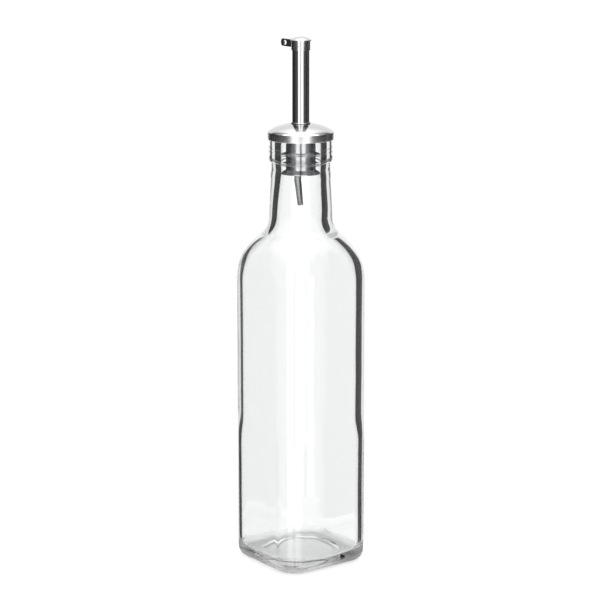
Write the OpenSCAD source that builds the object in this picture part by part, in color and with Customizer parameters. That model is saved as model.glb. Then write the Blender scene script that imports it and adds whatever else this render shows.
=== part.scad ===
// Square glass oil and vinegar bottle with a push-in steel pourer.
// Origin: centre of the base, on the surface that it stands on. +Z is up.
// The tab of the spout collar points along +Y. Millimetres.

/* [Glass body] */
// Width of the square body across its flat faces
body_side = 50; // [40:0.5:62]
// Radius of the upright corners
body_corner = 11.4; // [8:0.1:15]
// Radius of the heel, where the sides meet the base
heel_r = 4.8; // [3:0.1:6]
// Height of the glass, from the base to the lip
glass_h = 205; // [165:1:250]
// Thickness of the side walls
wall = 2.6; // [2.2:0.1:3.4]
// Thickness of the base at its edge
base_t = 5; // [4:0.1:8]
// Radius of the hollow under the base
punt_r = 18; // [12:0.5:19]
// Depth of the hollow under the base
punt_depth = 2.2; // [1:0.1:2.6]
// Radius of the rounded shoulder, seen from the side
shoulder_r = 20.3; // [18:0.1:24]

/* [Glass neck] */
// Length of the neck, from the lip down to where the shoulder begins to flare
neck_len = 37.5; // [31:0.5:46]
// Outer radius at the foot of the neck
neck_r = 15.05; // [14.4:0.05:17]
// How much the neck narrows on its way up to the lip ring
neck_taper = 1.25; // [0.5:0.05:1.5]
// Radius of the flare between the neck and the shoulder
flare_r = 11.2; // [9:0.1:14]
// Outer radius of the lip ring
lip_ring_r = 14.92; // [14.9:0.02:17.5]
// Height of the lip ring
lip_ring_h = 10.9; // [9:0.1:13]
// Radius of the mouth, which the plug pushes into
mouth_r = 9.35; // [7.8:0.05:10.4]
// How much wider the bore is at the foot of the neck
bore_flare = 1.3; // [0.5:0.05:1.6]

/* [Pourer] */
// Outer radius of the pour tube
tube_r = 4.05; // [3.4:0.05:4.8]
// Wall of the pour tube
tube_wall = 0.4; // [0.3:0.05:0.5]
// Height of the pour tube above the lip of the glass
tube_rise = 45.4; // [38:0.5:55]
// How far the cap stands out past the lip ring
cap_overhang = 0.58; // [0.57:0.01:1.2]
// Height of the straight rim of the cap
cap_rim_h = 3.5; // [2.9:0.1:5]
// Rise of the domed top above the rim
cap_dome_h = 4.15; // [3.4:0.05:5]
// Thickness of the sheet that the cap is pressed from
cap_sheet = 0.5; // [0.4:0.05:0.5]
// How far the rim of the cap reaches down past the lip
cap_overlap = 0.5; // [0.3:0.05:0.8]
// Size of the bead where the tube meets the cap
bead_size = 0.6; // [0.4:0.05:0.8]

/* [Plug] */
// Radius of the stem of the plug
plug_r = 6.95; // [6.3:0.05:7.2]
// How far the plug reaches down into the neck
plug_depth = 16.7; // [14:0.1:20]
// Thickness of each sealing fin at its edge
fin_t = 0.7; // [0.5:0.05:0.9]
// Number of thin fins above the bottom flange
fin_count = 2; // [1:1:3]
// Thickness of the flange at the foot of the plug
flange_t = 1.5; // [1:0.1:2]
// Thickness of the washer on the lip of the glass
gasket_t = 1.4; // [1:0.1:1.8]
// Outer radius of the vent tube
vent_r = 1.6; // [1.3:0.05:1.8]
// Wall of the vent tube
vent_wall = 0.35; // [0.25:0.05:0.4]
// How far the vent tube hangs below the plug
vent_drop = 14.7; // [10:0.1:18]
// Lean of the hanging end of the vent tube
vent_lean = 7; // [5:0.5:8.5]

/* [Spout collar and flap lid] */
// Height of the band round the top of the tube
collar_h = 4.3; // [3.8:0.1:5.2]
// Thickness of the strip that the collar is folded from
strip_t = 0.38; // [0.3:0.02:0.45]
// Reach of the tab, from the axis of the tube
tab_reach = 15.2; // [13.5:0.1:18]
// Height of the tab
tab_h = 3.5; // [3.1:0.1:3.8]
// Radius of the eye in the tab
eye_r = 1.15; // [0.9:0.05:1.2]
// Distance from the end of the tab to the middle of the eye
eye_inset = 3.3; // [2.9:0.1:3.6]
// How far the lid stands out past the band
lid_overhang = 0.52; // [0.4:0.02:0.7]
// Thickness of the lid at its edge
lid_edge_t = 0.4; // [0.3:0.05:0.5]
// Rise of the domed lid above its edge
lid_dome_h = 1.45; // [1.2:0.05:1.8]
// Radius of the hinge pin
pin_r = 0.4; // [0.3:0.02:0.45]
// Distance from the band to the hinge pin
pin_reach = 2.25; // [2.1:0.05:2.6]
// Radius of the lid's ears round the hinge pin
ear_r = 1.05; // [0.9:0.05:1.1]

/* [Clearances] */
// Gap between the fins of the plug and the mouth of the glass
seal_gap = 0.1; // [0.05:0.01:0.2]
// Gap between pieces that rest on each other and move apart
rest_gap = 0.03; // [0.01:0.01:0.05]
// Radial gap of the hinge pin in the tab
pin_gap = 0.04; // [0.02:0.01:0.08]
// Gap between the ears of the lid and the tab, on each side
ear_gap = 0.06; // [0.04:0.01:0.1]

/* [Hidden] */
$fn = 96;
around = 48;                 // points round each section of the glass body
over = 0.01;                 // how far a cutter stands past the face that it opens

half = body_side / 2;
inner_half = half - wall;
inner_corner = body_corner - 1.4;   // a blown bottle is thickest in its corners
inner_heel_r = heel_r - 1.3;
floor_r = inner_half - inner_heel_r;
round_rise = 5.5;            // the hollow is round at its floor and square again this far above it
inner_shoulder_r = shoulder_r - wall - 0.2;
inner_flare_r = flare_r + 0.8;
bore_r = mouth_r + bore_flare;
flare_z = glass_h - neck_len;
share_start = 6.5;           // how far below the shoulder the corners begin to widen
share_end = 3.5;             // how far below the neck the section is round

// height between the centres of two arcs that meet, one round the shoulder and one in the flare
function arc_gap(r1, r2, dx) = sqrt(pow(r1 + r2, 2) - dx * dx);
outer_dx = neck_r + flare_r - half + shoulder_r;
outer_dz = arc_gap(shoulder_r, flare_r, outer_dx);
shoulder_z = flare_z - outer_dz;
inner_dx = bore_r + inner_flare_r - inner_half + inner_shoulder_r;
inner_dz = arc_gap(inner_shoulder_r, inner_flare_r, inner_dx);
inner_shoulder_z = flare_z - inner_dz;

lip_ring_z = glass_h - lip_ring_h;
neck_top_r = neck_r - neck_taper;
neck_let_in = 0.5;           // how deep the turned neck is let into the body's wall
joint_r = neck_r * cos(180 / around) - over;   // just inside the flats of the body's last section
mouth_depth = 14.5;          // straight stretch of the bore below the lip
seam_z = glass_h - 6.1;      // mould seam round the lip ring

cap_r = lip_ring_r + cap_overhang;
cap_bottom = glass_h - cap_overlap;
cap_rim_top = cap_bottom + cap_rim_h;
dome_spread = 2;             // how much wider than the cap the ellipse of its dome is
tube_top = glass_h + tube_rise;
tube_bore = tube_r - tube_wall;
gasket_z = glass_h + rest_gap;
gasket_top = gasket_z + gasket_t;
plug_bottom = glass_h - plug_depth;
plug_seat = 6;               // how far the tube stops above the foot of the plug
tube_bottom = plug_bottom + plug_seat;
plug_hollow_r = tube_r + 1.15;
fin_r = mouth_r - seal_gap;
fin_rise = 0.8;              // height that a fin's root spreads up the stem
head_t = 1.4;                // thickness of the plug's head under the cap
vent_offset = tube_bore - vent_r - rest_gap;
vent_top = glass_h + 11;
vent_bend = plug_bottom + 2.2;
vent_side = 143.7;           // direction of the vent tube from the axis, in degrees

collar_r = tube_r + strip_t;
collar_bottom = tube_top - collar_h;
tab_t = 2 * strip_t;
tab_bottom = tube_top - tab_h;
tab_end_r = tab_h / 2 - 0.15;
eye_y = tab_reach - eye_inset;
eye_z = tube_top - tab_h / 2;
pin_y = collar_r + pin_reach;
pin_z = tube_top - ear_r + 0.35;
lid_r = collar_r + lid_overhang;
lid_bottom = tube_top + rest_gap;
ear_t = 0.4;
ear_x = tab_t / 2 + ear_gap;
stop_ease = 0.12;            // room that the lid's bridge leaves over the tab when it stands open

// ---- outlines ----

// points on an arc in a profile, from angle a0 to angle a1
function arc(cx, cy, r, a0, a1, n) =
    [for (i = [0:n]) let (t = a0 + (a1 - a0) * i / n) [cx + r * cos(t), cy + r * sin(t)]];

// height at radius x of a dome of radius r and height h: the top of a wider ellipse, so that it
// meets the rim at an edge
function dome(x, r, h) =
    let (a = r + dome_spread, edge = sqrt(1 - pow(r / a, 2)))
    h * (sqrt(1 - pow(x / a, 2)) - edge) / (1 - edge);
// height of the cap's outer face at radius x
function cap_z(x) = cap_rim_top + dome(x, cap_r, cap_dome_h);
// height of its inner face at radius x
function cap_under(x) = cap_rim_top + dome(x, cap_r - cap_sheet, cap_dome_h - cap_sheet);

// ---- sections of the glass body ----

// distance from the axis to a rounded square, in direction t
function reach(t, a, rc) =
    let (u = abs(cos(t)), v = abs(sin(t)), c = a - rc, d = c * (u + v))
    min(u, v) * a <= c * max(u, v) ? a / max(u, v) : d + sqrt(max(0, d * d - 2 * c * c + rc * rc));

// one section: half width a, corner radius rc, height z
function section(s) =
    [for (i = [0:around - 1]) let (t = 360 * i / around, r = reach(t, s[1], s[2]))
        [r * cos(t), r * sin(t), s[0]]];

// share of the half width that the corner radius takes at height z: 1 is a circle
function corner_share(z, low, high, share) =
    let (u = min(1, max(0, (z - low) / (high - low))))
    share + (1 - share) * u * u * (3 - 2 * u);

function shaped(z, a, low, high, share) = [z, a, a * corner_share(z, low, high, share)];

// sections up a side that goes from half width a0, round a shoulder and a flare, to radius r_neck
function shoulder(a0, corner, r1, r2, r_neck, z1, z2) =
    let (low = z1 - share_start, share = corner / a0,
         high = z2 - share_end, lean = acos((r_neck + r2 - a0 + r1) / (r1 + r2)))
    concat(
        [for (z = [low : share_start / 3 : z1 - over]) shaped(z, a0, low, high, share)],
        [for (i = [0:9]) let (t = lean * i / 9)
            shaped(z1 + r1 * sin(t), a0 - r1 + r1 * cos(t), low, high, share)],
        [for (i = [1:6]) let (t = lean * (1 - i / 6))
            shaped(z2 - r2 * sin(t), r_neck + r2 - r2 * cos(t), low, high, share)]
    );

function flipped(list) = [for (i = [len(list) - 1:-1:0]) list[i]];

// the hollow under the base, then the heel, as sections from the middle outwards
function base_sections() = concat(
    [for (i = [1:5]) let (r = punt_r * i / 5)
        [punt_depth * (1 - pow(i / 5, 2)) * (1 - 0.2 * pow(i / 5, 2)), r, r]],
    [for (i = [0:5]) let (t = 90 * i / 5, inset = heel_r * (1 - sin(t)))
        [heel_r * (1 - cos(t)), half - inset, body_corner - inset]]
);

// one section near the floor of the hollow, where the corners fill up with glass
function floor_section(z, a) =
    let (u = min(1, (z - base_t) / round_rise), share = inner_corner / inner_half)
    [z, a, a * (share + (1 - share) * pow(1 - u * u * (3 - 2 * u), 1.5))];

// the inside of the base, as sections from the side walls inwards
function floor_sections() = concat(
    [for (k = [1:-0.5:0.5])
        floor_section(base_t + inner_heel_r + (round_rise - inner_heel_r) * k, inner_half)],
    [for (i = [5:-1:0]) let (t = 90 * i / 5)
        floor_section(base_t + inner_heel_r * (1 - cos(t)), inner_half - inner_heel_r * (1 - sin(t)))],
    [for (i = [3:-1:1]) let (r = floor_r * i / 4)
        [base_t + 0.7 * punt_depth * pow(1 - pow(i / 4, 2), 2), r, r]]
);

module glass_body() {
    rings = concat(
        base_sections(),
        shoulder(half, body_corner, shoulder_r, flare_r, neck_r, shoulder_z, flare_z),
        flipped(shoulder(inner_half, inner_corner, inner_shoulder_r, inner_flare_r,
                         bore_r, inner_shoulder_z, flare_z)),
        floor_sections()
    );
    last = len(rings) - 1;
    points = concat([for (s = rings) each section(s)],
                    [[0, 0, punt_depth], [0, 0, base_t + 0.7 * punt_depth]]);
    under = (last + 1) * around;
    function at(i, j) = i * around + j % around;
    polyhedron(points, concat(
        [for (j = [0:around - 1]) [under, at(0, j), at(0, j + 1)]],
        [for (i = [0:last - 1], j = [0:around - 1]) each [
            [at(i, j), at(i + 1, j), at(i + 1, j + 1)],
            [at(i, j), at(i + 1, j + 1), at(i, j + 1)]]],
        [for (j = [0:around - 1]) [at(last, j), under + 1, at(last, j + 1)]]
    ));
}

// the neck and lip ring, turned, with a true round bore
module glass_neck() {
    joint_bore = bore_r + 3 * over;
    rotate_extrude() polygon(concat(
        [[joint_bore, flare_z - neck_let_in], [joint_r, flare_z - neck_let_in], [joint_r, flare_z],
         [neck_top_r, lip_ring_z - 4], [neck_top_r, lip_ring_z]],
        arc(lip_ring_r - 1, lip_ring_z + 1, 1, -60, 0, 4),
        arc(lip_ring_r - 0.8, glass_h - 0.8, 0.8, 0, 90, 5),
        arc(mouth_r + 0.5, glass_h - 0.5, 0.5, 90, 180, 4),
        [[mouth_r, glass_h - mouth_depth], [joint_bore, flare_z]]
    ));
    rotate_extrude() translate([lip_ring_r - 0.1, seam_z]) circle(0.25);
}

module glass_bottle() {
    color([0.85, 0.9, 0.9, 0.4]) union() {
        glass_body();
        glass_neck();
    }
}

// pressed steel cap over the lip, with a hole for the tube
module pourer_cap() {
    steps = 14;
    inner = cap_r - cap_sheet;
    turn = asin(tube_r / cap_r);
    turn_in = asin(tube_r / inner);
    color([0.78, 0.78, 0.79]) rotate_extrude() polygon(concat(
        [[inner, cap_bottom], [cap_r, cap_bottom]],
        [for (i = [0:steps]) let (x = cap_r * cos((90 - turn) * i / steps)) [x, cap_z(x)]],
        [for (i = [steps:-1:0]) let (x = inner * cos((90 - turn_in) * i / steps)) [x, cap_under(x)]]
    ));
}

// bead where the tube comes out of the cap
module tube_bead() {
    color([0.7, 0.7, 0.71]) rotate_extrude() translate([tube_r, cap_z(tube_r)]) {
        square([bead_size / 2, bead_size]);
        translate([bead_size / 2, bead_size / 2]) circle(bead_size / 2);
    }
}

module pour_tube() {
    color([0.75, 0.75, 0.76]) difference() {
        translate([0, 0, tube_bottom]) cylinder(r = tube_r, h = tube_top - tube_bottom);
        translate([0, 0, tube_bottom - 1]) cylinder(r = tube_bore, h = tube_top - tube_bottom + 2);
    }
}

// outline of the tab: x runs away from the tube, y is height
module tab_outline() {
    fall = tab_bottom - collar_bottom;
    root = tube_r + strip_t / 2;
    round_x = tab_reach - tab_end_r;
    translate([root, tab_bottom]) square([round_x - root, tab_h]);
    translate([root, tab_bottom + tab_end_r]) square([tab_reach - root, tab_h - 2 * tab_end_r]);
    for (y = [tube_top - tab_end_r, tab_bottom + tab_end_r]) translate([round_x, y]) circle(tab_end_r);
    polygon([[root, collar_bottom], [collar_r + 0.1, collar_bottom],
             [collar_r + 0.6 + fall, tab_bottom + over], [root, tab_bottom + over]]);
}

// folded band with its two ends pinched together into a tab with an eye
module spout_collar() {
    gusset = 0.9;
    color([0.72, 0.72, 0.73]) difference() {
        union() {
            translate([0, 0, collar_bottom]) cylinder(r = collar_r, h = collar_h);
            translate([-tab_t / 2, 0, 0]) rotate([90, 0, 90]) linear_extrude(tab_t) tab_outline();
            translate([0, 0, collar_bottom]) linear_extrude(collar_h) polygon([
                [-tab_t / 2 - gusset, tube_r], [tab_t / 2 + gusset, tube_r],
                [tab_t / 2, collar_r + 0.5], [-tab_t / 2, collar_r + 0.5]]);
        }
        translate([0, 0, collar_bottom - 1]) cylinder(r = tube_r, h = collar_h + 2);
        translate([-2, eye_y, eye_z]) rotate([0, 90, 0]) cylinder(r = eye_r, h = 4);
        translate([-2, pin_y, pin_z]) rotate([0, 90, 0]) cylinder(r = pin_r + pin_gap, h = 4);
    }
}

// one ear of the lid: a round knuckle on a strip that comes back from the lid's edge
module lid_ear() {
    rotate([90, 0, 90]) linear_extrude(ear_t) {
        translate([pin_y, pin_z]) circle(ear_r);
        translate([lid_r - 0.6, lid_bottom]) square([pin_y - lid_r + 0.6, lid_edge_t]);
    }
}

// domed lid that flaps on the hinge pin, with two ears either side of the tab
module flap_lid() {
    ball = (lid_r * lid_r + lid_dome_h * lid_dome_h) / (2 * lid_dome_h);
    ball_z = lid_bottom + lid_edge_t + lid_dome_h - ball;
    edge_turn = asin(lid_r / ball);
    hollow_r = tube_bore;
    hollow_turn = asin(hollow_r / (ball - lid_edge_t));
    bridge_end = pin_y - (tube_top - pin_z) - stop_ease;
    color([0.8, 0.8, 0.81]) difference() {
        union() {
            rotate_extrude() polygon(concat(
                [[hollow_r, lid_bottom], [lid_r, lid_bottom]],
                arc(0, ball_z, ball, 90 - edge_turn, 90, 10),
                arc(0, ball_z, ball - lid_edge_t, 90, 90 - hollow_turn, 8)
            ));
            translate([-ear_x - ear_t, lid_r - 0.6, lid_bottom])
                cube([2 * (ear_x + ear_t), bridge_end - lid_r + 0.6, lid_edge_t]);
            for (x = [ear_x, -ear_x - ear_t]) translate([x, 0, 0]) lid_ear();
        }
        translate([-2, pin_y, pin_z]) rotate([0, 90, 0]) cylinder(r = pin_r, h = 4);
    }
}

// pin through both ears, with a flat head on each end
module hinge_pin() {
    head_w = 0.2;
    reach_x = ear_x + ear_t;
    color([0.6, 0.6, 0.61]) translate([0, pin_y, pin_z]) rotate([0, 90, 0]) union() {
        cylinder(r = pin_r, h = 2 * reach_x, center = true);
        for (s = [-1, 1]) translate([0, 0, s * (reach_x + head_w / 2)])
            cylinder(r = pin_r + 0.2, h = head_w, center = true);
    }
}

// one sealing fin, as a profile: a thin lip on a root that spreads up the stem
module fin(z) {
    polygon([[plug_r - 0.3, z], [fin_r, z], [fin_r, z + fin_t],
             [plug_r, z + fin_t + fin_rise], [plug_r - 0.3, z + fin_t + fin_rise]]);
}

// soft moulded plug: head under the cap, stem on the tube, fins in the mouth
module seal_plug() {
    fin_step = (plug_depth - flange_t - 1.5) / (fin_count + 1);
    head_r = cap_r - cap_sheet - 0.8;
    neck_in = plug_r - 0.3;
    color([0.62, 0.62, 0.63]) rotate_extrude() union() {
        polygon([
            [plug_hollow_r, plug_bottom], [plug_r, plug_bottom], [plug_r, gasket_top],
            [head_r, gasket_top], [head_r, gasket_top + head_t], [plug_r, gasket_top + head_t],
            [plug_r, cap_under(plug_r) - rest_gap], [tube_r, cap_under(plug_r) - rest_gap],
            [tube_r, tube_bottom], [plug_hollow_r, tube_bottom]]);
        polygon([[neck_in, plug_bottom], [fin_r, plug_bottom], [fin_r, plug_bottom + fin_t],
                 [plug_r, plug_bottom + flange_t + fin_rise], [neck_in, plug_bottom + flange_t + fin_rise]]);
        for (i = [1:fin_count]) fin(plug_bottom + fin_step * i);
    }
}

// washer between the plug's head and the lip of the glass
module lip_gasket() {
    color([0.4, 0.4, 0.41]) rotate_extrude() translate([plug_r, gasket_z])
        square([cap_r - cap_sheet - rest_gap - plug_r, gasket_t]);
}

// a straight run down beside the tube's wall and a hanging end that leans back to the axis
module vent_run(r, extra) {
    bend_ease = 0.02;
    fall = vent_bend - plug_bottom + vent_drop;
    cylinder(r = r, h = vent_top - vent_bend + extra);
    sphere(r + bend_ease);
    rotate([0, 180 + vent_lean, 0]) cylinder(r = r, h = fall / cos(vent_lean) + extra);
}

module vent_tube() {
    color([0.66, 0.66, 0.67]) rotate([0, 0, vent_side]) translate([vent_offset, 0, vent_bend])
        difference() {
            vent_run(vent_r, 0);
            vent_run(vent_r - vent_wall, 1);
        }
}

glass_bottle();
pourer_cap();
tube_bead();
pour_tube();
spout_collar();
flap_lid();
hinge_pin();
seal_plug();
lip_gasket();
vent_tube();
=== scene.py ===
# %% [markdown]
# # A square glass oil bottle with a steel pourer
# The bottle is blown soda-lime glass: a square body with round corners, a domed shoulder and a
# long round neck. A pourer pushes into the neck: a finned plug under a domed steel cap, a straight
# steel tube, a thin vent tube that hangs in the neck, and a small flap lid that swings open when
# the bottle is tipped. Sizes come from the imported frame, and each cell makes one piece or finish.

# %% Load the frame
import math
import bpy
import bmesh
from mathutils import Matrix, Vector


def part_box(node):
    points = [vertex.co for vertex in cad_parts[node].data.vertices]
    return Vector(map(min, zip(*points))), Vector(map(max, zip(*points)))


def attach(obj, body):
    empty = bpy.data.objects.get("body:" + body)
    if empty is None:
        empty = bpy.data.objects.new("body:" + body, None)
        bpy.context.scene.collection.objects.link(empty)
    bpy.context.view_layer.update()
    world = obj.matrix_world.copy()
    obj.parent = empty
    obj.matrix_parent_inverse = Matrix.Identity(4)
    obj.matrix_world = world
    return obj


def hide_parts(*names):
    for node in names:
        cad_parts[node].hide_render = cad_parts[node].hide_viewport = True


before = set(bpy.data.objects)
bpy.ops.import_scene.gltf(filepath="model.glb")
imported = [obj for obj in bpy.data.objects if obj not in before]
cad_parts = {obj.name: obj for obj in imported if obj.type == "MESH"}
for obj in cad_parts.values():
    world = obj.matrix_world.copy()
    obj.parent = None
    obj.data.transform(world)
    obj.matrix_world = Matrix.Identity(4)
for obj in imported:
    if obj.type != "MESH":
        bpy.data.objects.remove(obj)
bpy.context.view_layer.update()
MM = 0.001

# %% [markdown]
# ## Camera
# The camera looks a little down on one corner of the bottle from about a metre away. A long lens
# keeps the upright edges almost parallel.

# %% Camera
VIEW_AZIMUTH = math.radians(-36.268)
CAMERA_DISTANCE = 1.0251
CAMERA_HEIGHT = 0.35504
AIM_HEIGHT = 0.1274
LENS_MM = 132.63
to_camera = Vector((math.sin(VIEW_AZIMUTH), -math.cos(VIEW_AZIMUTH), 0))
to_right = Vector((math.cos(VIEW_AZIMUTH), math.sin(VIEW_AZIMUTH), 0))

camera = bpy.data.objects.new("camera", bpy.data.cameras.new("camera"))
bpy.context.scene.collection.objects.link(camera)
camera.location = to_camera * CAMERA_DISTANCE + Vector((0, 0, CAMERA_HEIGHT))
aim = Vector((0, 0, AIM_HEIGHT))
camera.rotation_euler = (aim - camera.location).to_track_quat("-Z", "Y").to_euler()
camera.data.lens = LENS_MM
camera.data.sensor_width = 36
camera.data.shift_x = -0.0013
bpy.context.scene.camera = camera
print("camera at", [round(c, 3) for c in camera.location])

# %% [markdown]
# ## Two helpers for every node tree
# Colours are picked as screen values, but shaders work with linear light, so one function converts
# them. Another adds a node, sets it up and links it, which keeps the trees below short.

# %% Colour and node helpers
def linear(hex_colour):
    parts = [int(hex_colour[i:i + 2], 16) / 255 for i in (0, 2, 4)]
    return (*[p / 12.92 if p <= 0.04045 else ((p + 0.055) / 1.055) ** 2.4 for p in parts], 1.0)


def add(tree, kind, links=(), out=None, **settings):
    """A new node with its settings and inputs, which are named in a dict or given in order.
    With out, the result is that output of the node and not the node. A kind that is no node
    type, such as MULTIPLY, is sums done by a Math node, and the result is its output."""
    if "Node" not in kind:
        kind, out, settings = "ShaderNodeMath", 0, {"operation": kind}
    made = tree.nodes.new(kind)
    for key, value in settings.items():
        setattr(made, key, value)
    for key, value in links.items() if isinstance(links, dict) else enumerate(links):
        if isinstance(value, bpy.types.NodeSocket):
            tree.links.new(value, made.inputs[key])
        else:
            made.inputs[key].default_value = value
    return made if out is None else made.outputs[out]


print("steel grey as linear light", [round(c, 3) for c in linear("C8C8CA")])

# %% [markdown]
# ## Studio
# Clear glass is lit from behind: a bright panel straight behind it and dark flags at both sides,
# which the thick edges of the glass bend into view as dark lines. Polished steel shows the room in
# front: two soft boxes side by side, and the same dark flags. The world holds this room as a
# function of direction, so nothing stands in the way of the other views. It is not a real room: it
# gives its own level to each kind of ray, such as what is seen straight through the glass or what
# has bounced about in it. That keeps the glass clear and its edges dark without a set to build, and
# no material reads it. The panels stay where they are when the camera moves.

# %% Studio
STUDIO = {
    "dark": 0.03,        # black flags at both sides
    "back": 0.95,        # panel behind the glass
    "boxes": 1.75,       # two upright soft boxes at the camera
    "glow": 0.09,        # their spill on the flags
    "ceiling": 0.8,
    "top box": 1.5,      # soft box straight overhead
    "ground": 0.7,       # white table round the bottle, seen steeply from above
    "strip": 0.3,        # narrow light far to the right
    "straight": 1.17,    # what is seen through the glass
    "scrambled": 0.62,   # what light that bounced twice or more inside the glass has met
    "backdrop": 1.02,    # what the camera sees past the bottle
    "floor light": 1.3,  # what lights the floor
}


def studio_world():
    world = bpy.data.worlds.new("studio")
    world.use_nodes = True
    t = world.node_tree
    t.nodes.clear()

    def ramp(value, low, high):
        return add(t, "ShaderNodeMapRange", {"Value": value, "From Min": low, "From Max": high},
                   interpolation_type="SMOOTHSTEP").outputs["Result"]

    def cosine(degrees):
        return math.cos(math.radians(degrees))

    direction = add(t, "ShaderNodeTexCoord").outputs["Generated"]
    x, y, z = add(t, "ShaderNodeSeparateXYZ", {0: direction}).outputs
    flat = add(t, "SQRT", [add(t, "ADD", [add(t, "MULTIPLY", [x, x]), add(t, "MULTIPLY", [y, y])])])

    def along(axis):
        return add(t, "MULTIPLY_ADD", [x, axis.x, add(t, "MULTIPLY", [y, axis.y])])

    front, side = (add(t, "DIVIDE", [along(to_camera), flat]), add(t, "DIVIDE", [along(to_right), flat]))
    across = add(t, "ABSOLUTE", [side])
    up = add(t, "MAXIMUM", [z, 0.01])

    path = add(t, "ShaderNodeLightPath").outputs
    bent = path["Is Transmission Ray"]
    wide = ramp(front, -cosine(34), -cosine(24))
    narrow = ramp(front, -cosine(22), -cosine(15))
    panel = add(t, "ShaderNodeMix", {0: bent, 2: wide, 3: narrow}).outputs[0]

    below_top = ramp(z, 0.85, 0.77)
    between = add(t, "MULTIPLY_ADD", [ramp(across, 0.03, 0.16), 0.9, 0.1])
    boxes = add(
        t, "MULTIPLY", [add(t, "MULTIPLY", [ramp(front, cosine(40), cosine(27)), below_top]), between])
    glow = add(t, "MULTIPLY", [ramp(front, -0.2, 0.9), below_top])
    ceiling = ramp(z, 0.5, 0.94)
    top_far = ramp(add(t, "DIVIDE", [along(to_camera), up]), -0.46, -0.38)
    top_wide = ramp(add(t, "ABSOLUTE", [add(t, "DIVIDE", [along(to_right), up])]), 0.62, 0.5)
    top_box = add(t, "MULTIPLY", [add(t, "MULTIPLY", [top_far, top_wide]), ramp(z, 0.8, 0.86)])
    ground = ramp(z, -0.3, -0.6)
    strip = add(
        t, "MULTIPLY",
        [ramp(add(t, "ABSOLUTE", [add(t, "ADD", [front, 0.342])]), 0.09, 0.02), ramp(side, 0.0, 0.2)])

    room = STUDIO["dark"]
    for shape, name in ((panel, "back"), (boxes, "boxes"), (glow, "glow"), (ceiling, "ceiling"),
                        (top_box, "top box"), (ground, "ground"), (strip, "strip")):
        room = add(t, "MULTIPLY_ADD", [shape, STUDIO[name], room])

    scrambled = add(t, "MULTIPLY", [bent, add(t, "GREATER_THAN", [path["Glossy Depth"], 1.5])])
    room = add(t, "ShaderNodeMix", {0: scrambled, 2: room, 3: STUDIO["scrambled"]}).outputs[0]
    straight = add(t, "MULTIPLY", [bent, add(t, "LESS_THAN", [path["Glossy Depth"], 0.5])])
    level = add(t, "ShaderNodeMix", {0: straight, 2: room, 3: STUDIO["straight"]}).outputs[0]
    for kind, name in (("Is Diffuse Ray", "floor light"), ("Is Camera Ray", "backdrop")):
        level = add(t, "ShaderNodeMix", {0: path[kind], 2: level, 3: STUDIO[name]}).outputs[0]
    light = add(t, "ShaderNodeBackground", {"Color": (1, 1, 1, 1), "Strength": level})
    add(t, "ShaderNodeOutputWorld", {"Surface": light.outputs[0]})
    world.cycles.sampling_method = "NONE"
    return world


bpy.context.scene.world = studio_world()
bpy.context.scene.view_settings.view_transform = "Standard"
bpy.context.scene.cycles.max_bounces = 24
bpy.context.scene.cycles.transmission_bounces = 20
bpy.context.scene.cycles.glossy_bounces = 10
print("studio levels", STUDIO)

# %% [markdown]
# ## Floor
# A plain white sweep. It is a low disc under the bottle, so that what the tall parts mirror is the
# room and not the floor. It is the same all over and glows a little, as a lit table does, so
# that the glass does not sit in a grey pool.

# %% Floor
FLOOR_RADIUS = 0.036
FLOOR_GLOW = 0.55


def white_sweep():
    finish = bpy.data.materials.new("white_sweep")
    finish.use_nodes = True
    shader = finish.node_tree.nodes["Principled BSDF"]
    shader.inputs["Base Color"].default_value = linear("C8C8C8")
    shader.inputs["Roughness"].default_value = 1.0
    shader.inputs["Specular IOR Level"].default_value = 0.0
    shader.inputs["Emission Color"].default_value = linear("FFFFFF")
    shader.inputs["Emission Strength"].default_value = FLOOR_GLOW
    return finish


def floor_disc():
    mesh = bpy.data.meshes.new("floor")
    work = bmesh.new()
    bmesh.ops.create_circle(work, cap_ends=True, segments=96, radius=FLOOR_RADIUS)
    work.to_mesh(mesh)
    work.free()
    made = bpy.data.objects.new("floor", mesh)
    bpy.context.scene.collection.objects.link(made)
    mesh.materials.append(white_sweep())
    made.location.z = -0.0002
    return made


floor = floor_disc()
print("floor radius", FLOOR_RADIUS)

# %% [markdown]
# ## Sizes from the frame
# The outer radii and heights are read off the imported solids, so the visible pieces stay where the
# design put them. What no box can tell, such as a wall or a fillet, is written with its own piece.

# %% Sizes
glass_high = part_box("glass_bottle")[1]
BODY_HALF = glass_high.x
GLASS_TOP = glass_high.z
TUBE_LOW, TUBE_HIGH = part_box("pour_tube")
TUBE_R = TUBE_HIGH.x
CAP_LOW, CAP_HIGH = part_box("pourer_cap")
CAP_R = CAP_HIGH.x
PLUG_LOW, PLUG_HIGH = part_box("seal_plug")
GASKET_LOW, GASKET_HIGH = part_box("lip_gasket")
VENT_LOW, VENT_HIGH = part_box("vent_tube")
BEAD_LOW, BEAD_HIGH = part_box("tube_bead")
print("glass top", round(GLASS_TOP / MM, 2), "tube", round(TUBE_R / MM, 2), "cap", round(CAP_R / MM, 2))

# %% [markdown]
# ## The glass body as a blank
# A lathe would turn this bottle round; the mould makes it square. So the mesh starts as a turned
# blank whose rings carry the share of the half width that the corner radius takes. The profile runs
# from the middle of the base, up the outside, over the lip and down the inside to the floor.

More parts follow.
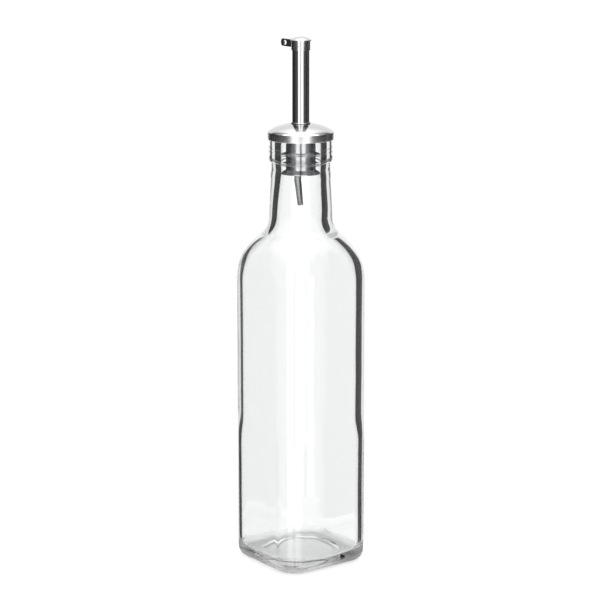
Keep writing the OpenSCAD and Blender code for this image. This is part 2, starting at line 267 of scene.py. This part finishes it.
# %% Glass profile
BODY_CORNER = 11.4 * MM
HEEL_R = 4.8 * MM
WALL = 2.6 * MM
INNER_CORNER = 10.0 * MM
SHOULDER_R, FLARE_R = 20.3 * MM, 11.2 * MM
INNER_SHOULDER_R, INNER_FLARE_R = 17.5 * MM, 12.0 * MM
NECK_R, NECK_TOP_R = 15.05 * MM, 13.8 * MM
BORE_R, MOUTH_R = 10.65 * MM, 9.35 * MM
LIP_RING_R = 14.92 * MM
FLARE_Z = GLASS_TOP - 37.5 * MM
LIP_RING_Z = GLASS_TOP - 10.9 * MM
SEAM_Z = GLASS_TOP - 6.1 * MM
BASE_T = 5.0 * MM
PUNT_R, PUNT_DEPTH = 18.0 * MM, 2.2 * MM
INNER_HEEL_R = 2.0 * MM
ROUND_TOP = 7.5 * MM                    # the hollow is square above this and round at its floor
ROUND_END = 3.5 * MM                    # how far below the neck the section is round
PUNT_POWER = 0.6
DRIFT, SHOULDER_DRIFT = 0.3 * MM, 0.6 * MM   # how far the hollow sits off centre
SETTLE_Z, SETTLE_SHARE = 66 * MM, 0.07   # below this the corners of the hollow are tighter


def ease(value, low, high):
    u = min(1.0, max(0.0, (value - low) / (high - low)))
    return u * u * (3 - 2 * u)


def share_at(z, low, high, share):
    return share + (1 - share) * ease(z, low, high)


def drift_at(z):
    """How far the hollow is off centre at a height: most at the shoulder, none in the mouth."""
    shoulder = SHOULDER_DRIFT * math.exp(-((z - 157 * MM) / (10 * MM)) ** 2)
    return (DRIFT + shoulder) * (1 - ease(z, FLARE_Z + 8 * MM, GLASS_TOP - 15 * MM))


def side_stations(half, corner, r_shoulder, r_flare, r_neck, z_floor):
    """Stations (z, half width, corner share) up a side, round the shoulder and the flare."""
    spread = r_neck + r_flare - half + r_shoulder
    reach = r_shoulder + r_flare
    z_shoulder = FLARE_Z - math.sqrt(reach * reach - spread * spread)
    lean = math.acos(spread / reach)
    low, share = z_shoulder - 6.5 * MM, corner / half
    made = []
    steps = 70
    for i in range(1, steps):
        z = z_floor + (z_shoulder - z_floor) * i / steps
        made.append((z, half))
    for i in range(31):
        t = lean * i / 30
        made.append((z_shoulder + r_shoulder * math.sin(t), half - r_shoulder * (1 - math.cos(t))))
    for i in range(1, 17):
        t = lean * (1 - i / 16)
        made.append((FLARE_Z - r_flare * math.sin(t), r_neck + r_flare * (1 - math.cos(t))))
    return [(z, a, share_at(z, low, FLARE_Z - ROUND_END, share)) for z, a in made]


def arc(cx, cz, r, start, end, steps):
    angles = [math.radians(start + (end - start) * i / steps) for i in range(steps + 1)]
    return [(cz + r * math.sin(t), cx + r * math.cos(t), 1.0) for t in angles]


def glass_stations():
    outside = []
    for i in range(1, 9):
        u = i / 8
        outside.append((PUNT_DEPTH * (1 - u * u) ** PUNT_POWER, PUNT_R * u, 1.0))
    for i in range(13):
        t = math.radians(90 * i / 12)
        inset = HEEL_R * (1 - math.sin(t))
        half, corner = BODY_HALF - inset, BODY_CORNER - inset
        outside.append((HEEL_R * (1 - math.cos(t)), half, corner / half))
    outside += side_stations(BODY_HALF, BODY_CORNER, SHOULDER_R, FLARE_R, NECK_R, HEEL_R)
    neck_top = LIP_RING_Z - 4 * MM
    for i in range(1, 25):
        u = i / 24
        z = FLARE_Z + (neck_top - FLARE_Z) * u
        bead = 0.3 * MM * math.exp(-((z - (GLASS_TOP - 17 * MM)) / (1.3 * MM)) ** 2)
        outside.append((z, NECK_R + (NECK_TOP_R - NECK_R) * u + bead, 1.0))
    outside += arc(NECK_TOP_R + 0.6 * MM, LIP_RING_Z - 0.55 * MM, 0.6 * MM, 180, 110, 4)
    outside += arc(LIP_RING_R - 1.0 * MM, LIP_RING_Z + 1.0 * MM, 1.0 * MM, -80, 0, 7)
    for i in range(1, 48):
        z = LIP_RING_Z + 1.0 * MM + (GLASS_TOP - 1.8 * MM - LIP_RING_Z) * i / 48
        seam = 0.17 * MM * math.exp(-((z - SEAM_Z) / (0.2 * MM)) ** 2)
        outside.append((z, LIP_RING_R + seam, 1.0))
    outside += arc(LIP_RING_R - 0.8 * MM, GLASS_TOP - 0.8 * MM, 0.8 * MM, 0, 90, 6)
    inside = arc(MOUTH_R + 0.5 * MM, GLASS_TOP - 0.5 * MM, 0.5 * MM, 90, 180, 5)
    for i in range(1, 9):
        inside.append((GLASS_TOP - 0.5 * MM - 14 * MM * i / 8, MOUTH_R, 1.0))
    straight_end = GLASS_TOP - 14.5 * MM
    for i in range(1, 16):
        u = i / 16
        inside.append((straight_end + (FLARE_Z - straight_end) * u,
                       MOUTH_R + (BORE_R - MOUTH_R) * (3 * u * u - 2 * u ** 3), 1.0))
    inner_half = BODY_HALF - WALL
    inner = side_stations(inner_half, INNER_CORNER, INNER_SHOULDER_R, INNER_FLARE_R, BORE_R,
                          BASE_T + INNER_HEEL_R)
    low_share = INNER_CORNER / inner_half - SETTLE_SHARE

    def hollow_share(z, share):
        if z > SETTLE_Z + 6 * MM:
            return share
        share = low_share + SETTLE_SHARE * ease(z, SETTLE_Z - 6 * MM, SETTLE_Z + 6 * MM)
        return share + (1 - share) * (1 - ease(z, BASE_T, ROUND_TOP)) ** 1.5

    inner = [(z, a, hollow_share(z, share)) for z, a, share in inner]
    inside += list(reversed(inner))
    for i in range(13):
        t = math.radians(90 * (1 - i / 12))
        inset = INNER_HEEL_R * (1 - math.sin(t))
        z = BASE_T + INNER_HEEL_R * (1 - math.cos(t))
        inside.append((z, inner_half - inset, hollow_share(z, low_share)))
    floor_r = inner_half - INNER_HEEL_R
    for i in range(11, 0, -1):
        u = i / 12
        inside.append((BASE_T + 0.7 * PUNT_DEPTH * (1 - u * u) ** 2, floor_r * u, 1.0))
    return outside, inside


outside, inside = glass_stations()
print("stations outside", len(outside), "inside", len(inside))

# %% [markdown]
# ## Squaring the blank with Geometry Nodes
# The rule is the same at every height: a point of the ring moves along its own direction until it
# meets a rounded square. The tree reads each ring's share and works the distance out. It also lets
# the inner wall wander a little, as blown glass does.

# %% Glass blank and its tree
AROUND = 192


def blank_mesh():
    stations = [(*s, 0.0) for s in outside] + [(*s, 1.0) for s in inside]
    verts, shares, inner, drift = [], [], [], []
    for z, a, share, is_inside in stations:
        for j in range(AROUND):
            t = 2 * math.pi * (j + 0.5) / AROUND
            verts.append((a * math.cos(t), a * math.sin(t), z))
            shares.append(share)
            inner.append(is_inside)
            drift.append(is_inside * drift_at(z))
    last = len(stations) - 1
    verts += [(0, 0, PUNT_DEPTH), (0, 0, BASE_T + 0.7 * PUNT_DEPTH)]
    shares += [1.0, 1.0]
    inner += [0.0, 1.0]
    drift += [0.0, drift_at(0)]
    under = (last + 1) * AROUND
    faces = []
    for i in range(last):
        for j in range(AROUND):
            k = (j + 1) % AROUND
            faces.append((i * AROUND + j, i * AROUND + k, (i + 1) * AROUND + k, (i + 1) * AROUND + j))
    for j in range(AROUND):
        k = (j + 1) % AROUND
        faces.append((under, k, j))
        faces.append((last * AROUND + j, last * AROUND + k, under + 1))
    mesh = bpy.data.meshes.new("glass_blank")
    mesh.from_pydata(verts, [], faces)
    for name, values in (("corner_share", shares), ("inner_wall", inner), ("drift", drift)):
        mesh.attributes.new(name, "FLOAT", "POINT").data.foreach_set("value", values)
    mesh.update()
    return mesh


print("points round each ring", AROUND)


# %% The tree that squares it
def squaring_tree():
    t = bpy.data.node_groups.new("square_the_blank", "GeometryNodeTree")
    for name, kind, value in (("Geometry", "NodeSocketGeometry", None),
                              ("Ripple depth", "NodeSocketFloat", 0.12 * MM),
                              ("Ripple length", "NodeSocketFloat", 22 * MM),
                              ("Seed", "NodeSocketFloat", 4.0),
                              ("Drift direction", "NodeSocketVector", -to_right),
                              ("Glass", "NodeSocketMaterial", None)):
        made = t.interface.new_socket(name, in_out="INPUT", socket_type=kind)
        if value is not None:
            made.default_value = value
    t.interface.new_socket("Geometry", in_out="OUTPUT", socket_type="NodeSocketGeometry")
    inputs = add(t, "NodeGroupInput").outputs

    position = add(t, "GeometryNodeInputPosition").outputs[0]
    x, y, z = add(t, "ShaderNodeSeparateXYZ", {0: position}).outputs
    share = add(
        t, "GeometryNodeInputNamedAttribute", {"Name": "corner_share"}, data_type="FLOAT").outputs[0]
    inner = add(t, "GeometryNodeInputNamedAttribute", {"Name": "inner_wall"}, data_type="FLOAT").outputs[0]
    half = add(t, "SQRT", [add(t, "ADD", [add(t, "MULTIPLY", [x, x]), add(t, "MULTIPLY", [y, y])])])
    ux, uy = (add(t, "DIVIDE", [x, half]), add(t, "DIVIDE", [y, half]))
    u, v = (add(t, "ABSOLUTE", [ux]), add(t, "ABSOLUTE", [uy]))
    wide, narrow = (add(t, "MAXIMUM", [u, v]), add(t, "MINIMUM", [u, v]))
    centre = add(t, "MULTIPLY", [half, add(t, "SUBTRACT", [1.0, share])])
    corner = add(t, "MULTIPLY", [half, share])
    on_flat = add(t, "DIVIDE", [half, wide])
    dot = add(t, "MULTIPLY", [centre, add(t, "ADD", [u, v])])
    under_root = add(t, "MULTIPLY_ADD", [dot, dot, add(t, "MULTIPLY", [corner, corner])])
    under_root = add(
        t, "SUBTRACT", [under_root, add(t, "MULTIPLY", [2.0, add(t, "MULTIPLY", [centre, centre])])])
    on_corner = add(t, "ADD", [dot, add(t, "SQRT", [add(t, "MAXIMUM", [under_root, 0.0])])])
    in_corner = add(
        t, "GREATER_THAN", [add(t, "MULTIPLY", [narrow, half]), add(t, "MULTIPLY", [wide, centre])])
    reach = add(t, "ShaderNodeMix", {0: in_corner, 2: on_flat, 3: on_corner}).outputs[0]
    noise_at = add(
        t, "ShaderNodeVectorMath", {0: position, 3: add(t, "DIVIDE", [1.0, inputs["Ripple length"]])},
        operation="SCALE").outputs[0]
    noise = add(
        t, "ShaderNodeTexNoise", {"Vector": noise_at, "W": inputs["Seed"], "Scale": 1.0, "Detail": 1.0},
        noise_dimensions="4D").outputs[0]
    wander = add(
        t, "MULTIPLY",
        [add(t, "SUBTRACT", [noise, 0.5]), add(t, "MULTIPLY", [inputs["Ripple depth"], 2.0])])
    below_neck = add(
        t, "ShaderNodeMapRange", {"Value": z, "From Min": FLARE_Z, "From Max": FLARE_Z - 0.03}).outputs[0]
    wander = add(t, "MULTIPLY", [wander, add(t, "MULTIPLY", [inner, below_neck])])
    reach = add(t, "ADD", [reach, wander])
    placed = add(
        t, "ShaderNodeCombineXYZ",
        {0: add(t, "MULTIPLY", [ux, reach]), 1: add(t, "MULTIPLY", [uy, reach]), 2: z}).outputs[0]
    drift = add(t, "GeometryNodeInputNamedAttribute", {"Name": "drift"}, data_type="FLOAT").outputs[0]
    aside = add(
        t, "ShaderNodeVectorMath", {0: inputs["Drift direction"], 3: drift}, operation="SCALE").outputs[0]
    placed = add(t, "ShaderNodeVectorMath", {0: placed, 1: aside}).outputs[0]
    moved = add(t, "GeometryNodeSetPosition", {"Geometry": inputs["Geometry"], "Position": placed})
    real = add(t, "GeometryNodeRealizeInstances", {"Geometry": moved.outputs[0]})
    smooth = add(t, "GeometryNodeSetShadeSmooth", {"Geometry": real.outputs[0]})
    coated = add(
        t, "GeometryNodeSetMaterial", {"Geometry": smooth.outputs[0], "Material": inputs["Glass"]})
    add(t, "NodeGroupOutput", {"Geometry": coated.outputs[0]})
    return t


# %% From tree to plain mesh
def through_tree(mesh, name, tree, values):
    """The mesh after the tree, as a plain object with no modifier."""
    rough = bpy.data.objects.new(name + "_rough", mesh)
    bpy.context.scene.collection.objects.link(rough)
    modifier = rough.modifiers.new("tree", "NODES")
    modifier.node_group = tree
    sockets = {s.name: s.identifier for s in tree.interface.items_tree if s.in_out == "INPUT"}
    for key, value in values.items():
        modifier[sockets[key]] = value
    result = bpy.data.meshes.new_from_object(rough.evaluated_get(bpy.context.evaluated_depsgraph_get()))
    bpy.data.objects.remove(rough)
    made = bpy.data.objects.new(name, result)
    result.name = name
    bpy.context.scene.collection.objects.link(made)
    return made


# %% [markdown]
# ## Clear glass
# Clear soda-lime glass, blown in an iron mould and fire polished. It is almost colourless, bends
# light by 1.52 and is mirror smooth, with faint long waves left by the mould and fine stipples on
# the ring that it stands on.

# %% Glass material
STIPPLE_TOP = 4.0 * MM
STIPPLE_ROUGHNESS = 0.5


def clear_glass():
    finish = bpy.data.materials.new("clear_soda_lime_glass")
    finish.use_nodes = True
    t = finish.node_tree
    shader = t.nodes["Principled BSDF"]
    shader.inputs["Base Color"].default_value = linear("FBFCFC")
    shader.inputs["Roughness"].default_value = 0.0
    shader.inputs["IOR"].default_value = 1.52
    shader.inputs["Transmission Weight"].default_value = 1.0
    at = add(t, "ShaderNodeTexCoord").outputs["Object"]
    z = add(t, "ShaderNodeSeparateXYZ", {0: at}).outputs[2]
    from_axis = add(t, "ShaderNodeVectorMath", {0: at, 1: (1, 1, 0)}, operation="MULTIPLY").outputs[0]
    from_axis = add(t, "ShaderNodeVectorMath", {0: from_axis}, operation="LENGTH").outputs["Value"]
    low = add(
        t, "ShaderNodeMapRange",
        {"Value": z, "From Min": STIPPLE_TOP, "From Max": 0.6 * STIPPLE_TOP}).outputs[0]
    outer = add(
        t, "ShaderNodeMapRange",
        {"Value": from_axis, "From Min": PUNT_R - 0.4 * MM, "From Max": PUNT_R}).outputs[0]
    ring = add(t, "MULTIPLY", [low, outer])
    stipples = add(
        t, "ShaderNodeTexVoronoi", {"Vector": at, "Scale": 1 / (0.8 * MM)}, feature="SMOOTH_F1").outputs[0]
    matt = add(t, "MULTIPLY", [ring, STIPPLE_ROUGHNESS])
    t.links.new(matt, shader.inputs["Roughness"])
    waves = add(t, "ShaderNodeTexNoise", {"Vector": at, "Scale": 1 / (9 * MM), "Detail": 1.5}).outputs[0]
    soft = add(t, "ShaderNodeBump", {"Height": waves, "Strength": 0.25, "Distance": 0.04 * MM})
    pits = add(
        t, "ShaderNodeBump",
        {"Height": add(t, "MULTIPLY", [stipples, ring]), "Distance": 0.15 * MM, "Normal": soft.outputs[0]})
    t.links.new(pits.outputs[0], shader.inputs["Normal"])
    return finish


# %% The glass bottle
glass = clear_glass()
bottle = through_tree(blank_mesh(), "bottle_glass", squaring_tree(), {"Glass": glass})
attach(bottle, "bottle")
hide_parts("glass_bottle")
print("glass faces", len(bottle.data.polygons))

# %% [markdown]
# ## Turned parts
# The cap, the tube, the bead, the plug and the washer are all round, so one function turns a closed
# profile about the axis and marks its sharp edges.

# %% Turning helper
def closed_piece(name, verts, faces, sharp=30):
    mesh = bpy.data.meshes.new(name)
    mesh.from_pydata(verts, [], faces)
    work = bmesh.new()
    work.from_mesh(mesh)
    bmesh.ops.remove_doubles(work, verts=work.verts, dist=1e-7)
    bmesh.ops.recalc_face_normals(work, faces=work.faces)
    work.to_mesh(mesh)
    work.free()
    mesh.shade_smooth()
    mesh.set_sharp_from_angle(angle=math.radians(sharp))
    made = bpy.data.objects.new(name, mesh)
    bpy.context.scene.collection.objects.link(made)
    return made


def turned(name, profile, segments=128, sharp=30):
    """A closed profile of (radius, height) points, turned about the Z axis."""
    count = len(profile)
    verts = [(r * math.cos(2 * math.pi * j / segments), r * math.sin(2 * math.pi * j / segments), z)
             for r, z in profile for j in range(segments)]
    faces = []
    for i in range(count):
        n = (i + 1) % count
        for j in range(segments):
            k = (j + 1) % segments
            faces.append((i * segments + j, i * segments + k, n * segments + k, n * segments + j))
    return closed_piece(name, verts, faces, sharp)


def bend(cx, cz, r, start, end, steps=6):
    angles = [math.radians(start + (end - start) * i / steps) for i in range(steps + 1)]
    return [(cx + r * math.cos(t), cz + r * math.sin(t)) for t in angles]


# %% [markdown]
# ## Polished stainless steel
# The pourer is bright polished stainless steel: the tube is drawn and buffed along its length, and
# the cap is spun and buffed round. Both show long soft streaks in their roughness.

# %% Steel materials
def polished_steel(name, stretch, roughness=0.1, colour="D6D6D7", matt_below=None):
    """stretch is the size in mm of the buffing marks along X, Y and Z; below a height the
    surface may be brushed and not buffed."""
    finish = bpy.data.materials.new(name)
    finish.use_nodes = True
    t = finish.node_tree
    shader = t.nodes["Principled BSDF"]
    shader.inputs["Metallic"].default_value = 1.0
    shader.inputs["Base Color"].default_value = linear(colour)
    at = add(t, "ShaderNodeTexCoord").outputs["Object"]
    scaled = add(
        t, "ShaderNodeMapping", {"Vector": at, "Scale": [1 / (s * MM) for s in stretch]}).outputs[0]
    marks = add(t, "ShaderNodeTexNoise", {"Vector": scaled, "Scale": 1.0, "Detail": 4.0}).outputs[0]
    gloss = add(t, "ShaderNodeMapRange", {"Value": marks, "From Min": 0.3, "From Max": 0.7,
                                          "To Min": roughness * 0.7, "To Max": roughness * 1.4}).outputs[0]
    if matt_below is not None:
        z = add(t, "ShaderNodeSeparateXYZ", {0: at}).outputs[2]
        brushed = add(t, "LESS_THAN", [z, matt_below])
        gloss = add(t, "MULTIPLY_ADD", [brushed, 0.2, gloss])
    t.links.new(gloss, shader.inputs["Roughness"])
    soft = add(t, "ShaderNodeBump", {"Height": marks, "Strength": 0.15, "Distance": 0.004 * MM})
    t.links.new(soft.outputs[0], shader.inputs["Normal"])
    return finish


drawn_steel = polished_steel("drawn_steel", (0.3, 0.3, 14.0))
spun_steel = polished_steel("spun_steel", (2.0, 2.0, 0.25), matt_below=CAP_LOW.z + 3.4 * MM)
pressed_steel = polished_steel("pressed_steel", (0.8, 0.8, 0.8), roughness=0.22, colour="D4D4D5")
vent_steel = polished_steel("vent_steel", (0.3, 0.3, 6.0), roughness=0.26, colour="8C8C8E")


def fit_out(piece, finish, body, slot, *nodes):
    piece.data.materials.clear()
    piece.data.materials.append(finish)
    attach(piece, body)
    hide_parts(*nodes)
    print(piece.name, len(piece.data.polygons), "faces")


# %% [markdown]
# ## Pour tube
# A straight drawn tube, cut square and lightly broken at its mouth. It is one closed profile, turned.

# %% Pour tube
TUBE_BORE = TUBE_R - 0.4 * MM
MOUTH_BREAK = 0.08 * MM                  # the sharp edge of the mouth is taken off by this much
tube = turned("pour_pipe", [(TUBE_BORE, TUBE_LOW.z), (TUBE_R, TUBE_LOW.z),
                            (TUBE_R, TUBE_HIGH.z - MOUTH_BREAK), (TUBE_R - MOUTH_BREAK, TUBE_HIGH.z),
                            (TUBE_BORE, TUBE_HIGH.z)], sharp=25)
fit_out(tube, drawn_steel, "pourer", "polished_steel", "pour_tube")

# %% [markdown]
# ## Domed cap
# A disc of steel sheet, spun over a form: a shallow dome, a crisp edge and an upright rim that
# hides the lip of the glass. The dome is the top of a wide ellipse, so it meets the rim at an edge.

# %% Cap
CAP_RIM_TOP = CAP_LOW.z + 3.5 * MM
CAP_SHEET = 0.5 * MM
CAP_RISE = 4.15 * MM
DOME_SPREAD = 2 * MM                     # how much wider than the cap the ellipse of its dome is


def cap_profile():
    inner_r = CAP_R - CAP_SHEET

    def dome(r, edge_r, rise):
        a = edge_r + DOME_SPREAD
        start = math.sqrt(1 - (edge_r / a) ** 2)
        return CAP_RIM_TOP + rise * (math.sqrt(1 - (r / a) ** 2) - start) / (1 - start)

    def spaced(edge_r, steps):
        return [
            TUBE_R + (edge_r - TUBE_R) * math.cos(math.pi / 2 * i / steps) for i in range(1, steps + 1)]

    outer = [(r, dome(r, CAP_R, CAP_RISE)) for r in spaced(CAP_R, 40)]
    inner = [(r, dome(r, inner_r, CAP_RISE - CAP_SHEET)) for r in reversed(spaced(inner_r, 24))]
    edge = bend(CAP_R - 0.25 * MM, CAP_LOW.z + 0.25 * MM, 0.25 * MM, -180, 0, 8)
    bead = bend(CAP_R - 0.2 * MM, CAP_RIM_TOP - 0.1 * MM, 0.2 * MM, 0, 62, 5)
    return edge + bead + outer + inner + [(inner_r, CAP_RIM_TOP)]


cap = turned("cap_shell", cap_profile(), segments=192)
fit_out(cap, spun_steel, "pourer", "polished_steel", "pourer_cap")

# %% [markdown]
# ## Bead
# A small rolled ring where the tube leaves the cap. It covers the hole's cut edge.

# %% Bead
bead_r = (BEAD_HIGH.x - TUBE_R) / 2
bead_mid = (BEAD_LOW.z + BEAD_HIGH.z) / 2
bead = turned("pipe_bead", bend(TUBE_R + bead_r, bead_mid, bead_r, -90, 90, 10)
              + [(TUBE_R, BEAD_HIGH.z), (TUBE_R, BEAD_LOW.z)])
fit_out(bead, spun_steel, "pourer", "polished_steel", "tube_bead")

# %% [markdown]
# ## Plug
# A soft polymer moulding with three thin fins that press on the glass. Its grey is pearly, from
# metal flake in the polymer, so the stem mirrors the room in soft bands. Turned as one profile.

# %% Plug
def plug_polymer():
    finish = bpy.data.materials.new("pearl_grey_moulded_polymer")
    finish.use_nodes = True
    t = finish.node_tree
    shader = t.nodes["Principled BSDF"]
    shader.inputs["Base Color"].default_value = linear("BEBEC0")
    shader.inputs["Metallic"].default_value = 0.95
    at = add(t, "ShaderNodeTexCoord").outputs["Object"]
    grain = add(t, "ShaderNodeTexNoise", {"Vector": at, "Scale": 1 / (0.6 * MM), "Detail": 2.0}).outputs[0]
    gloss = add(t, "ShaderNodeMapRange", {"Value": grain, "To Min": 0.1, "To Max": 0.2}).outputs[0]
    t.links.new(gloss, shader.inputs["Roughness"])
    return finish


STEM_R = 6.95 * MM
FIN_R = 9.25 * MM


def plug_profile():
    foot, top = PLUG_LOW.z, PLUG_HIGH.z
    head_r = PLUG_HIGH.x
    head_low, head_high = GASKET_HIGH.z, GASKET_HIGH.z + 1.4 * MM
    hollow_r, seat = TUBE_R + 1.15 * MM, foot + 6.0 * MM
    step = (GLASS_TOP - foot - 3.0 * MM) / 3
    points = [
        (hollow_r, foot), (FIN_R - 0.2 * MM, foot), (FIN_R, foot + 0.2 * MM), (FIN_R, foot + 0.6 * MM),
        (STEM_R + 0.6 * MM, foot + 1.7 * MM), (STEM_R, foot + 2.3 * MM)]
    for i in (1, 2):
        z = foot + step * i
        points += [(STEM_R, z), (FIN_R - 0.1 * MM, z + 0.05 * MM), (FIN_R, z + 0.2 * MM),
                   (FIN_R, z + 0.5 * MM), (FIN_R - 0.15 * MM, z + 0.65 * MM),
                   (STEM_R + 0.4 * MM, z + 1.0 * MM), (STEM_R, z + 1.5 * MM)]
    points += [(STEM_R, head_low), (head_r, head_low), (head_r, head_high), (STEM_R, head_high),
               (STEM_R, top), (TUBE_R, top), (TUBE_R, seat), (hollow_r, seat)]
    return points


plug = turned("finned_plug", plug_profile(), segments=128)
fit_out(plug, plug_polymer(), "pourer", "plug_polymer", "seal_plug")

# %% [markdown]
# ## Washer
# A flat ring of soft rubber between the plug's head and the glass. Moulded rubber is matt, dark
# and slightly grainy, with rounded edges. It is a guess, since the cap's rim hides it.

# %% Washer
def washer_rubber():
    finish = bpy.data.materials.new("moulded_rubber")
    finish.use_nodes = True
    t = finish.node_tree
    shader = t.nodes["Principled BSDF"]
    at = add(t, "ShaderNodeTexCoord").outputs["Object"]
    grain = add(t, "ShaderNodeTexNoise", {"Vector": at, "Scale": 1 / (0.5 * MM), "Detail": 3.0}, 0)
    tone = add(
        t, "ShaderNodeMix", {0: grain, 6: linear("4A4A4B"), 7: linear("5E5E60")}, 2, data_type="RGBA")
    t.links.new(tone, shader.inputs["Base Color"])
    matt = add(t, "ShaderNodeMapRange", {"Value": grain, "To Min": 0.55, "To Max": 0.75}, 0)
    t.links.new(matt, shader.inputs["Roughness"])
    bump = add(t, "ShaderNodeBump", {"Height": grain, "Strength": 0.3, "Distance": 0.02 * MM}, 0)
    t.links.new(bump, shader.inputs["Normal"])
    return finish


def washer_profile(r_in, r_out, low, high, edge):
    outer, inner = r_out - edge, r_in + edge
    return (bend(outer, low + edge, edge, -90, 0, 4) + bend(outer, high - edge, edge, 0, 90, 4)
            + bend(inner, high - edge, edge, 90, 180, 4) + bend(inner, low + edge, edge, 180, 270, 4))


washer = turned("lip_washer", washer_profile(STEM_R, GASKET_HIGH.x, GASKET_LOW.z, GASKET_HIGH.z, 0.2 * MM))
fit_out(washer, washer_rubber(), "pourer", "washer_rubber", "lip_gasket")

# %% [markdown]
# ## Vent tube
# A thin bent steel tube lets air into the bottle while oil pours out. It runs down beside the
# tube's wall and its free end leans back to the axis. A ring is placed square to the path at each
# station, down the outside and up the bore, and the rings are joined.

# %% Vent tube
VENT_R, VENT_WALL = 1.6 * MM, 0.35 * MM
VENT_TIP_R = 1.4 * MM
VENT_SIDE = math.radians(143.7)
REST_GAP = 0.03 * MM                     # between the vent tube and the wall it runs beside
VENT_OFFSET = TUBE_BORE - VENT_R - REST_GAP
VENT_BEND_Z, VENT_LEAN = PLUG_LOW.z + 2.2 * MM, math.radians(7)


def vent_stations():
    """(offset from the axis, height, lean of the path, outer radius) from the top to the tip."""
    made = [(VENT_OFFSET, VENT_HIGH.z, 0.0, VENT_R), (VENT_OFFSET, VENT_BEND_Z + 1.5 * MM, 0.0, VENT_R)]
    offset, z = made[-1][:2]
    steps = 24
    fall = z - VENT_LOW.z - VENT_TIP_R * math.sin(VENT_LEAN)
    for i in range(1, steps + 1):
        lean = VENT_LEAN * ease(i / steps, 0.0, 0.2)
        drop = fall / steps
        offset, z = offset - math.tan(lean) * drop, z - drop
        made.append((offset, z, lean, VENT_R + (VENT_TIP_R - VENT_R) * ease(i / steps, 0.4, 1.0)))
    return made


def vent_mesh(segments=40):
    side = Vector((math.cos(VENT_SIDE), math.sin(VENT_SIDE), 0))
    across = Vector((-math.sin(VENT_SIDE), math.cos(VENT_SIDE), 0))
    rings = [(o, z, lean, r) for o, z, lean, r in vent_stations()]
    rings += [(o, z, lean, r - VENT_WALL) for o, z, lean, r in reversed(vent_stations())]
    verts = []
    for offset, z, lean, r in rings:
        square_to = side * math.cos(lean) + Vector((0, 0, -math.sin(lean)))
        middle = side * offset + Vector((0, 0, z))
        for j in range(segments):
            a = 2 * math.pi * j / segments
            verts.append(middle + across * (r * math.cos(a)) + square_to * (r * math.sin(a)))
    faces = []
    for i in range(len(rings)):
        n = (i + 1) % len(rings)
        for j in range(segments):
            k = (j + 1) % segments
            faces.append((i * segments + j, i * segments + k, n * segments + k, n * segments + j))
    return closed_piece("bent_vent", verts, faces)


vent = vent_mesh()
fit_out(vent, vent_steel, "pourer", "polished_steel", "vent_tube")

# %% [markdown]
# ## Collar, flap lid and pin
# The collar and its tab are one folded strip of sheet; the lid is a pressed disc with two ears, and
# a pin joins them. Their outlines are exact in the CAD solids already, flat sheet with cut edges,
# so the solids are carried over. They get the satin look of pressed sheet.

# %% Collar, lid and pin
for node_name in ("spout_collar", "flap_lid", "hinge_pin"):
    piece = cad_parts[node_name]
    piece.data.materials.clear()
    piece.data.materials.append(pressed_steel)
    print("carried over", node_name, len(piece.data.polygons), "faces")
